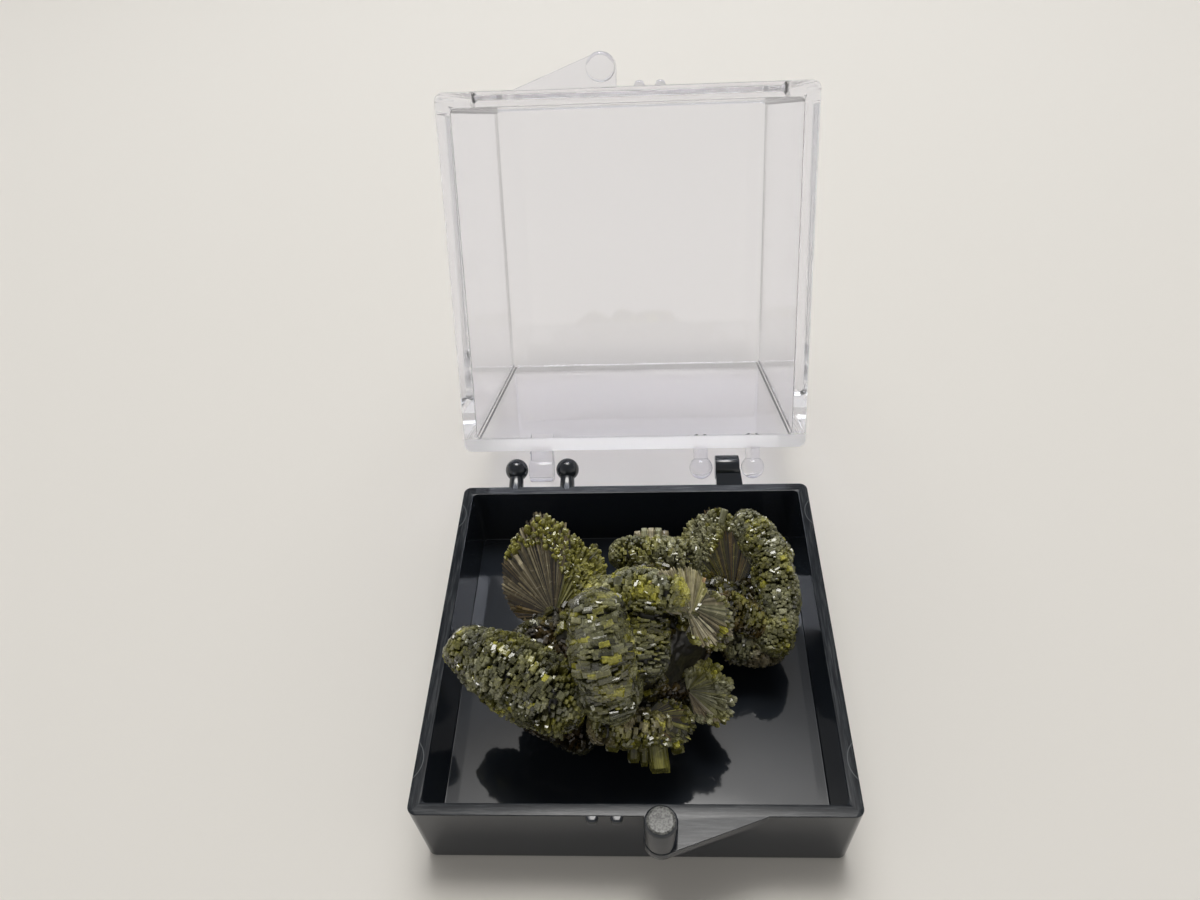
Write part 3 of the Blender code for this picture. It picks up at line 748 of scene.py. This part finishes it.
def grow_fan(name, fan, look):
    """Blades from one apex. Those of the split face lie side by side, the rest end in a druse."""
    blade = unit_crystal(4, 0.12, 0.04, 0.5)
    grit = unit_crystal(4, 0.8, 0.25, 0.4)
    axes = fan_axes(fan["face"])
    out = axes[2]
    apex = Vector(fan["apex"])
    first, last = fan["reach"][0][0], fan["reach"][-1][0]
    druse = Druse(name)
    for count in range(fan["blades"]):
        share = (count * GOLDEN_STEP) % 1.0
        angle = first + (last - first) * share + random.uniform(-1, 1)
        front = at(fan["front"], angle)
        behind = ((count * EVEN_STEP) % 1.0) ** 0.8
        lift = front - (front + fan["back"]) * behind
        on_face = behind < 0.3 and front < 9
        if on_face:
            lift = front - random.uniform(0, 5.5)
        along = fan_ways(axes, angle, lift)[1]
        rounding = 1.0 - 0.16 * behind ** 2 - 0.10 * (front > 8) * (1 - behind) ** 2
        lobes = 1.0 + 0.05 * noise.noise(Vector((angle * 0.11, lift * 0.06, 3.0)))
        radius = at(fan["reach"], angle) * rounding * lobes * random.uniform(0.95, 1.01)
        width = fan["width"] * random.uniform(0.7, 1.5)
        if on_face:
            radius *= random.choice((1.0, 1.0, 0.97, 0.92, 0.85, 0.7))
            width *= 0.62
        else:
            radius *= 0.95
        end = apex + along * radius
        side = along.cross(out) + any_way() * (0.22 if on_face else 0.8)
        if on_face:
            streak = fan["glow"] + 0.5 * noise.noise(Vector((angle * 0.35, 0, 7.0))) + random.gauss(0, 0.22)
            tint = streaked(end, fan["side"], streak)
        else:
            tint = colour_at(end, fan["rim"], 0.04, fan["level"])
        start = apex + along * radius * 0.06
        druse.add(blade, start, end, side, width, width * random.uniform(0.5, 0.9), tint, 0.6)
    for count in range(fan["crust"]):
        angle = random.uniform(first, last)
        inner = at(fan["crust_from"], angle)
        if random.random() > 1.6 * (1.0 - inner * inner):
            continue
        share = math.sqrt(random.uniform(inner * inner, 1.0))
        flat, along = fan_ways(axes, angle, at(fan["front"], angle))
        foot = apex + along * at(fan["reach"], angle) * share * 0.97
        way = (out * 0.9 + flat * (0.2 + share * 0.7) + any_way() * 0.35).normalized()
        size = fan["width"] * random.uniform(0.9, 1.9)
        tint = colour_at(foot, fan["rim"], 0.06, fan["level"])
        tip = foot + way * size * random.uniform(0.4, 0.9)
        druse.add(grit, foot - way * 0.5, tip, any_way(), size, size * 0.8, tint)
    return druse.finish(look)


def on_spine(spine, share):
    """A point of a crest's spine and its radius there, share going from 0 to 1."""
    place = clamp(share) * (len(spine) - 1)
    index = min(int(place), len(spine) - 2)
    part = place - index
    radius = spine[index][3] + (spine[index + 1][3] - spine[index][3]) * part
    return Vector(spine[index][:3]).lerp(Vector(spine[index + 1][:3]), part), radius


def spine_point(spine, share):
    """A point of a crest's spine, its radius there, and the way it runs, which bends smoothly."""
    place, radius = on_spine(spine, share)
    heading = on_spine(spine, share + 0.2)[0] - on_spine(spine, share - 0.2)[0]
    return place, radius, heading.normalized()


def grow_crest(name, crest, look):
    """Prisms that stand out all round a spine and end nearly flush, as a bank of flat tips."""
    rhomb = unit_crystal(4, 0.75, 0.07, 0.6)
    spine = crest["spine"]
    total = crest["tips"]
    druse = Druse(name)
    golden = math.pi * (3 - math.sqrt(5))
    run = (Vector(spine[-1][:3]) - Vector(spine[0][:3])).length
    cap = spine[0][3] / (run + spine[0][3] + spine[-1][3])
    for count in range(total):
        share = (count + 0.5) / total
        turn = golden * count
        inside = clamp((share - cap) / (1 - 2 * cap))
        base, radius, heading = spine_point(spine, inside)
        beside = heading.cross(Vector((0, 0, 1))).normalized()
        above = beside.cross(heading)
        if share < cap:
            lean = -math.acos(clamp(share / cap))
        elif share > 1 - cap:
            lean = math.acos(clamp((1 - share) / cap))
        else:
            lean = random.uniform(-0.2, 0.2)
        ring = beside * math.cos(turn) + above * math.sin(turn)
        out = (ring * math.cos(lean) + heading * math.sin(lean)).normalized()
        place = base + out * radius
        bumps = 1.0 + 0.14 * noise.noise(place * 0.7) + 0.05 * noise.noise(place * 2.1)
        reach = radius * bumps * random.uniform(0.955, 1.0)
        width = crest["width"] * random.choice((0.7, 0.8, 1.0, 1.0, 1.2, 1.5)) * random.uniform(0.85, 1.15)
        depth = width * crest["plates"] * random.uniform(0.7, 1.2)
        side = out.cross(heading)
        if side.length < 0.2:
            side = out.cross(above)
        side = side.normalized() + any_way() * 0.28
        tip = base + out * reach + any_way() * 0.05
        root = base + out * reach * 0.4 + any_way() * 0.25
        tint = colour_at(tip, crest["casts"], crest["painted_glow_share"], crest["level"])
        druse.add(rhomb, root, tip, side, width, depth, tint)
    return druse.finish(look)


def grow_prisms(look):
    """The few thick single crystals, and the feet that carry the cluster."""
    prism = unit_crystal(6, 0.85, 0.10, 0.3)
    druse = Druse("prisms")
    for root, tip, width, depth, cast, level, finer in PRISMS:
        root, tip = Vector(root), Vector(tip)
        side = Vector((1, 0, 0))
        druse.add(prism, root, tip, side, width * 0.9, depth * 0.9, ramp_colour(cast, level), 0.7)
        for _ in range(finer):
            turn = random.uniform(0, 2 * math.pi)
            across = Vector((math.cos(turn) * width, 0, math.sin(turn) * depth)) * 0.38
            start = root + across
            end = tip + across - (tip - root) * random.uniform(0.0, 0.22)
            tint = ramp_colour(cast, level + random.gauss(0, 0.14))
            druse.add(prism, start, end, side, width * 0.24, depth * 0.26, tint, 0.6)
    low = TRAY_FLOOR + REST_GAP
    for x, y, radius in FEET:
        for _ in range(26):
            spread = Vector((random.uniform(-0.7, 0.7), random.uniform(-0.7, 0.7), 0)) * radius
            end = Vector((x, y, low)) + spread
            end.z += random.uniform(0, 0.8) * spread.length
            start = Vector((x, y, 6.5)) + spread * 1.2
            tint = colour_at(end, ("brown", "olive"), 0, 0.35)
            druse.add(prism, start, end, Vector((1, 0, 0)), radius * 0.45, radius * 0.4, tint)
    return druse.finish(look)


def grow_flashes(look):
    """Small smooth facets, tilted a little towards the front."""
    plate = unit_crystal(4, 0.9, 0.12, 0.6)
    druse = Druse("flashes")
    for x, y, z, count, spread in FLASHES:
        for _ in range(count):
            place = Vector((x, y, z)) + any_way() * spread
            turn = random.uniform(0, math.pi)
            lean = FLASH_TILT + random.gauss(0, 0.05)
            up = Vector((random.gauss(0, 0.05), -math.sin(lean), math.cos(lean)))
            along = up.cross(Vector((math.cos(turn), math.sin(turn), 0))).normalized()
            half = along * random.uniform(0.12, 0.3)
            width = random.uniform(0.12, 0.26)
            druse.add(plate, place - half, place + half, up.cross(along), width, 0.14,
                      ramp_colour("grey", 0.8), 1.0)
    return druse.finish(look)


def inside_crest(place):
    """True where a point is well covered by a crest's own tips."""
    for crest in CRESTS.values():
        for step in range(9):
            middle, radius, _ = spine_point(crest["spine"], step / 8)
            if (place - middle).length < radius * COVERED:
                return True
    return False


def grow_core(look, crystal):
    """The dark mass under the crystals: lumps melted together, roughened, and set with grit."""
    bm = bmesh.new()
    lumps = [((x, y, z), (across, across, up)) for x, y, z, across, up in CORE]
    for crest in CRESTS.values():
        for share in (0.0, 0.25, 0.5, 0.75, 1.0):
            place, radius, _ = spine_point(crest["spine"], share)
            lumps.append((tuple(place), (radius * CREST_LUMP,) * 3))
    for fan in FANS.values():
        out = Vector(fan["face"]).normalized()
        lumps.append((tuple(Vector(fan["apex"]) - out * APEX_SINK), (APEX_LUMP,) * 3))
    for place, (wide, deep, tall) in lumps:
        lump = Matrix.Translation(place) @ Matrix.Diagonal((wide, deep, tall, 1.0))
        bmesh.ops.create_icosphere(bm, subdivisions=3, radius=1.0, matrix=lump)
    shape = as_object("step", bm)
    melt = shape.modifiers.new("melt", "REMESH")
    melt.mode = "VOXEL"
    melt.voxel_size = MELT_SIZE
    skin = with_modifiers(shape)
    bpy.data.objects.remove(shape, do_unlink=True)
    for vert in skin.verts:
        rough = noise.noise(vert.co * 1.6) * 0.22 + noise.noise(vert.co * 4.0) * 0.1
        vert.co += vert.normal * (rough - 0.1)
    skin.normal_update()
    grit = unit_crystal(4, 0.8, 0.2, 0.4)
    druse = Druse("grit")
    for face in skin.faces:
        foot = face.calc_center_median()
        bare = (foot - Vector(HOLLOW)).length < HOLLOW_RADIUS or inside_crest(foot)
        if random.random() < GRIT_SHARE and not bare:
            way = (face.normal + any_way() * 0.5).normalized()
            size = random.uniform(0.3, 0.7)
            tip = foot + way * size * random.uniform(0.4, 0.9)
            tint = colour_at(tip, ("brown", "olive"), 0.01, 0.4)
            druse.add(grit, foot - way * 0.3, tip, any_way(), size, size * 0.75, tint)
    return [piece("matrix", skin, look, "tray"), druse.finish(crystal)]


# Materials

def new_material(name):
    made = bpy.data.materials.new(name)
    made.use_nodes = True
    return made, made.node_tree, made.node_tree.nodes["Principled BSDF"]


def node(tree, kind, settings=(), inputs=(), links=()):
    """Adds a node. settings are its own, inputs are socket values, links join sockets to it."""
    made = tree.nodes.new(kind)
    for key, value in dict(settings).items():
        setattr(made, key, value)
    for key, value in dict(inputs).items():
        made.inputs[key].default_value = value
    for key, source in dict(links).items():
        tree.links.new(source, made.inputs[key])
    return made


def ramp(tree, source, stops):
    """A colour ramp between (place, value) stops, where a value is a grey or a colour."""
    made = node(tree, "ShaderNodeValToRGB", links={"Fac": source})
    band = made.color_ramp
    for index, (place, value) in enumerate(stops):
        stop = band.elements[index] if index < 2 else band.elements.new(place)
        stop.position = place
        stop.color = value if isinstance(value, tuple) else (value, value, value, 1.0)
    return made.outputs["Color"]


def epidote_crystal():
    """Epidote: vitreous prisms with fine grooves along their length. Each crystal's tint is darker
    towards its root, as painted shade, and some tints take a painted yellow-green glow."""
    made, tree, shader = new_material("epidote_crystal")
    tint = node(tree, "ShaderNodeAttribute", {"attribute_name": "tint"}).outputs["Color"]
    grain = node(tree, "ShaderNodeAttribute", {"attribute_name": "grain"}).outputs["Vector"]
    # Grooves about 0.1 mm apart, drawn long in the crystal's own direction. They bump the surface,
    # and also darken the colour as painted shade in them and lighten it as painted highlight between them
    drawn = node(tree, "ShaderNodeVectorMath", {"operation": "MULTIPLY"}, {1: GROOVES}, {0: grain})
    grooves = node(
        tree, "ShaderNodeTexNoise", inputs={"Scale": 1.0, "Detail": 3.0, "Roughness": 0.6},
        links={"Vector": drawn.outputs[0]},
    ).outputs["Fac"]
    # Painted shade in the grooves and painted highlight on the ridges between them
    shade = ramp(tree, grooves, [(0.3, 0.45), (0.5, 0.95), (0.7, 1.6)])
    grooved = node(
        tree, "ShaderNodeMix", {"data_type": "RGBA", "blend_type": "MULTIPLY"}, {"Factor": 0.8},
        {6: tint, 7: shade},
    )
    # Flaws and veils inside the crystal
    place = node(tree, "ShaderNodeTexCoord").outputs["Object"]
    veils = node(
        tree, "ShaderNodeTexNoise", inputs={"Scale": VEILS, "Detail": 2.0}, links={"Vector": place},
    ).outputs["Fac"]
    cloud = ramp(tree, veils, [(0.3, 0.7), (0.7, 1.25)])
    veiled = node(
        tree, "ShaderNodeMix", {"data_type": "RGBA", "blend_type": "MULTIPLY"}, {"Factor": 1.0},
        {6: grooved.outputs[2], 7: cloud},
    )
    tree.links.new(veiled.outputs[2], shader.inputs["Base Color"])
    gloss = ramp(tree, veils, [(0.3, 0.06), (0.7, 0.30)])
    tree.links.new(gloss, shader.inputs["Roughness"])
    raised = node(
        tree, "ShaderNodeBump", inputs={"Strength": 0.35, "Distance": 0.00004},
        links={"Height": grooves},
    )
    tree.links.new(raised.outputs["Normal"], shader.inputs["Normal"])
    shader.inputs["IOR"].default_value = EPIDOTE_IOR
    shader.inputs["Transmission Weight"].default_value = 0.18
    return made


def epidote_matrix():
    """The mass the crystals stand on: dark, uneven epidote."""
    made, tree, shader = new_material("epidote_matrix")
    place = node(tree, "ShaderNodeTexCoord").outputs["Object"]
    cloud = node(
        tree, "ShaderNodeTexNoise", inputs={"Scale": MASS_PATCHES, "Detail": 4.0},
        links={"Vector": place},
    ).outputs["Fac"]
    stops = [(0.35, linear("#0d0b07")), (0.6, linear("#1c180c")), (0.75, linear("#2e2914"))]
    colour = ramp(tree, cloud, stops)
    tree.links.new(colour, shader.inputs["Base Color"])
    raised = node(
        tree, "ShaderNodeBump", inputs={"Strength": 0.6, "Distance": 0.0002}, links={"Height": cloud},
    )
    tree.links.new(raised.outputs["Normal"], shader.inputs["Normal"])
    shader.inputs["Roughness"].default_value = 0.35
    shader.inputs["IOR"].default_value = EPIDOTE_IOR
    return made


def maths(tree, operation, first, second=0.0, third=0.0):
    """One sum, where each value is a number or the output of another node."""
    values = {0: first, 1: second, 2: third}
    links = {key: value for key, value in values.items() if isinstance(value, bpy.types.NodeSocket)}
    plain = {key: value for key, value in values.items() if key not in links}
    return node(tree, "ShaderNodeMath", {"operation": operation}, plain, links).outputs[0]


def millimetres(tree, turned=False):
    """Object coordinates in millimetres. turned lays the open lid back down on the tray."""
    place = node(tree, "ShaderNodeTexCoord").outputs["Object"]
    scaled = node(
        tree, "ShaderNodeVectorMath", {"operation": "SCALE"}, {"Scale": 1 / MM}, {0: place},
    ).outputs[0]
    if turned:
        scaled = node(
            tree, "ShaderNodeVectorRotate", {"rotation_type": "X_AXIS"},
            {"Center": (0, HINGE_Y, HINGE_Z), "Angle": math.radians(OPEN_ANGLE)}, {"Vector": scaled},
        ).outputs[0]
    axes = node(tree, "ShaderNodeSeparateXYZ", links={"Vector": scaled}).outputs
    return scaled, axes["X"], axes["Y"], axes["Z"]


def pin_marks(tree, x, y):
    """1 on the thin lines that the mould's round ejector pins leave on a rim, or else 0."""
    beside = maths(tree, "SUBTRACT", maths(tree, "ABSOLUTE", x), PIN_X)
    lines = []
    for pin_y in PIN_ROWS:
        along = maths(tree, "SUBTRACT", y, pin_y)
        squares = maths(tree, "ADD", maths(tree, "POWER", beside, 2.0), maths(tree, "POWER", along, 2.0))
        away = maths(tree, "SQRT", squares)
        lines.append(maths(tree, "COMPARE", away, PIN_RADIUS, PIN_LINE))
    return maths(tree, "MAXIMUM", *lines)


def black_polystyrene():
    """Injection-moulded black polystyrene: polished, and worn to a streaked satin on the rim, the
    flange and the post's end. The post's end is painted pale in specks: partly scuffs, partly
    painted sheen of the light above."""
    made, tree, shader = new_material("black_polystyrene")
    shader.inputs["IOR"].default_value = POLYSTYRENE_IOR
    place, x, y, z = millimetres(tree)
    # Only the levels of the rim and of the post's end are worn, and not the hinge. The post's end
    # also takes painted sheen
    height = maths(tree, "DIVIDE", maths(tree, "SUBTRACT", z, WEAR_LOW), WEAR_SPAN)
    levels = ramp(tree, height, [
        (0.0, 0.0), (0.095, 0.0), (0.110, 1.0), (0.120, 1.0), (0.130, 0.0), (0.86, 0.0), (0.875, 1.0),
    ])
    worn = maths(tree, "MULTIPLY", levels, maths(tree, "LESS_THAN", y, BOX / 2 + 0.1))
    # Streaks run along each side of the rim
    sideways = maths(tree, "GREATER_THAN", maths(tree, "ABSOLUTE", x), maths(tree, "ABSOLUTE", y))
    drawn = [
        node(tree, "ShaderNodeVectorMath", {"operation": "MULTIPLY"}, {1: stretch}, {0: place}).outputs[0]
        for stretch in ((STREAKS_ALONG, STREAKS_ACROSS, 1.0), (STREAKS_ACROSS, STREAKS_ALONG, 1.0))
    ]
    run = node(
        tree, "ShaderNodeMix", {"data_type": "VECTOR"},
        links={"Factor": sideways, 4: drawn[0], 5: drawn[1]},
    ).outputs[1]
    streaks = node(
        tree, "ShaderNodeTexNoise", inputs={"Scale": 1.0, "Detail": 5.0, "Roughness": 0.65},
        links={"Vector": run},
    ).outputs["Fac"]
    marks = maths(
        tree, "MULTIPLY", pin_marks(tree, x, y),
        maths(tree, "GREATER_THAN", maths(tree, "ABSOLUTE", x), BOX / 2 - TRAY_WALL),
    )
    satin = ramp(tree, streaks, [
        (0.34, linear("#1a1c20")), (0.5, linear("#282b2f")), (0.66, linear("#424446")),
    ])
    specks = node(
        tree, "ShaderNodeTexNoise", inputs={"Scale": SPECKS, "Detail": 3.0}, links={"Vector": place},
    ).outputs["Fac"]
    # The post's end: pale specks, partly scuffs and partly painted sheen
    scuffs_and_sheen = ramp(tree, specks, [(0.4, linear("#454543")), (0.6, linear("#787874"))])
    end = node(
        tree, "ShaderNodeMix", {"data_type": "RGBA"},
        links={"Factor": maths(tree, "GREATER_THAN", z, TRAY_HEIGHT + 1.0), 6: satin, 7: scuffs_and_sheen},
    ).outputs[2]
    marked = node(
        tree, "ShaderNodeMix", {"data_type": "RGBA"}, {7: linear("#56595b")},
        {"Factor": marks, 6: end},
    ).outputs[2]
    colour = node(
        tree, "ShaderNodeMix", {"data_type": "RGBA"}, {6: linear("#23272d")},
        {"Factor": worn, 7: marked},
    ).outputs[2]
    tree.links.new(colour, shader.inputs["Base Color"])
    haze = node(
        tree, "ShaderNodeTexNoise", inputs={"Scale": HAZE, "Detail": 6.0}, links={"Vector": place},
    ).outputs["Fac"]
    polished = ramp(tree, haze, [(0.4, 0.05), (0.7, 0.09)])
    rubbed = ramp(tree, streaks, [(0.35, 0.12), (0.65, 0.08)])
    rough = node(
        tree, "ShaderNodeMix", {"data_type": "FLOAT"}, links={"Factor": worn, 2: polished, 3: rubbed},
    ).outputs[0]
    tree.links.new(rough, shader.inputs["Roughness"])
    # Wear dulls the shine a little
    shine = maths(tree, "MULTIPLY_ADD", worn, -0.32, 0.5)
    tree.links.new(shine, shader.inputs["Specular IOR Level"])
    return made


def clear_polystyrene():
    """Injection-moulded clear polystyrene: water-clear, with a faint lavender cast in thick
    sections and the fine lines of the mould's pins on its rim."""
    made, tree, shader = new_material("clear_polystyrene")
    _, x, y, z = millimetres(tree, turned=True)
    at_rim = maths(tree, "LESS_THAN", z, TRAY_HEIGHT + SHUT_GAP + 0.3)
    pins = pin_marks(tree, x, y)
    ticks = maths(
        tree, "MULTIPLY", maths(tree, "COMPARE", maths(tree, "ABSOLUTE", x), TICK_X, TICK_LINE),
        maths(tree, "LESS_THAN", y, LID_WALL - BOX / 2),
    )
    marks = maths(tree, "MULTIPLY", at_rim, maths(tree, "MAXIMUM", pins, ticks))
    raised = node(
        tree, "ShaderNodeBump", inputs={"Strength": 0.8, "Distance": 0.0001}, links={"Height": marks},
    )
    tree.links.new(raised.outputs["Normal"], shader.inputs["Normal"])
    shader.inputs["Base Color"].default_value = linear("#f8f8fd")
    # The rim's hinge side is rubbed dull. The rest is polished
    hinge_side = maths(tree, "COMPARE", y, (BOX - LID_WALL) / 2, LID_WALL / 2)
    rubbed = maths(tree, "MULTIPLY", at_rim, hinge_side)
    dull = maths(tree, "MULTIPLY_ADD", rubbed, LID_RUB, LID_POLISH)
    tree.links.new(dull, shader.inputs["Roughness"])
    shader.inputs["IOR"].default_value = POLYSTYRENE_IOR
    shader.inputs["Transmission Weight"].default_value = 1.0
    return made


def pale_table():
    made, _, shader = new_material("pale_table")
    shader.inputs["Base Color"].default_value = linear("#e2ded7")
    shader.inputs["Roughness"].default_value = 0.6
    return made


# Studio

def make_camera():
    forward = Vector((
        math.sin(YAW) * math.cos(PITCH), math.cos(YAW) * math.cos(PITCH), -math.sin(PITCH),
    ))
    level = Vector((math.cos(YAW), -math.sin(YAW), 0))
    upward = level.cross(forward)
    right = math.cos(ROLL) * level + math.sin(ROLL) * upward
    up = -math.sin(ROLL) * level + math.cos(ROLL) * upward
    data = bpy.data.cameras.new("camera")
    data.lens = LENS
    data.sensor_width = SENSOR
    data.sensor_fit = "HORIZONTAL"
    data.clip_start = 0.001
    camera = bpy.data.objects.new("camera", data)
    bpy.context.scene.collection.objects.link(camera)
    place = Matrix((right, up, -forward)).transposed().to_4x4()
    place.translation = Vector(CAMERA) * MM
    camera.matrix_world = place
    bpy.context.scene.camera = camera


def make_overhead():
    """A wide soft lamp that lights the box and shows in no reflection."""
    data = bpy.data.lights.new("overhead", "AREA")
    data.shape = "RECTANGLE"
    data.size = OVERHEAD_SIZE[0] * MM
    data.size_y = OVERHEAD_SIZE[1] * MM
    data.energy = OVERHEAD_POWER
    data.color = linear("#f3f8ff")[:3]
    lamp = bpy.data.objects.new("overhead", data)
    bpy.context.scene.collection.objects.link(lamp)
    aim = Vector(OVERHEAD_AIM) - Vector(OVERHEAD_PLACE)
    turned = aim.to_track_quat("-Z", "Y").to_matrix().to_4x4()
    turned.translation = Vector(OVERHEAD_PLACE) * MM
    lamp.matrix_world = turned
    lamp.visible_glossy = False


def make_studio():
    bm = bmesh.new()
    bmesh.ops.create_grid(bm, x_segments=1, y_segments=1, size=TABLE_REACH * MM)
    table = as_object("table", bm)
    table.data.materials.append(pale_table())

    world = bpy.data.worlds.new("studio")
    bpy.context.scene.world = world
    world.use_nodes = True
    tree = world.node_tree
    sky = tree.nodes["Background"]
    sky.inputs["Color"].default_value = linear("#fbf9f6")
    # A ceiling light, wider than deep, high up behind the box in a dim room
    way = node(tree, "ShaderNodeTexCoord").outputs["Generated"]
    lamp = (0.0, math.cos(CEILING_ANGLE), math.sin(CEILING_ANGLE))
    off = node(
        tree, "ShaderNodeVectorMath", {"operation": "SUBTRACT"}, {1: lamp}, {0: way},
    ).outputs[0]
    squeezed = node(
        tree, "ShaderNodeVectorMath", {"operation": "MULTIPLY"}, {1: (CEILING_SQUEEZE, 1, 1)}, {0: off},
    ).outputs[0]
    away = node(
        tree, "ShaderNodeVectorMath", {"operation": "LENGTH"}, links={0: squeezed},
    ).outputs["Value"]
    glow = ramp(tree, away, [
        (0.0, 1.0), (0.10, 1.0), (0.17, 0.20), (0.26, 0.055), (0.36, 0.018), (1.0, 0.018),
    ])
    height = node(tree, "ShaderNodeSeparateXYZ", links={"Vector": way}).outputs["Z"]
    walls = ramp(tree, height, [(0.0, 0.80), (0.26, 0.72), (0.50, 0.32), (0.62, 0.26), (1.0, 0.26)])
    power = maths(tree, "MAXIMUM", maths(tree, "MULTIPLY", glow, CEILING_POWER), walls)
    tree.links.new(power, sky.inputs["Strength"])
    make_overhead()
    bpy.context.scene.view_settings.view_transform = "Standard"
    bpy.context.scene.cycles.glossy_bounces = 16
    bpy.context.scene.cycles.transmission_bounces = 24
    bpy.context.scene.cycles.max_bounces = 32
    # Without this the table under the clear lid loses most of its light
    bpy.context.scene.cycles.blur_glossy = 0.0


def main():
    random.seed(7)
    make_camera()
    make_studio()
    make_tray(black_polystyrene())
    make_lid(clear_polystyrene())
    crystal = epidote_crystal()
    grown = [*grow_core(epidote_matrix(), crystal), grow_prisms(crystal), grow_flashes(crystal)]
    grown += [grow_fan(name, fan, crystal) for name, fan in FANS.items()]
    grown += [grow_crest(name, crest, crystal) for name, crest in CRESTS.items()]
    for made in grown:
        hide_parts("epidote")


main()
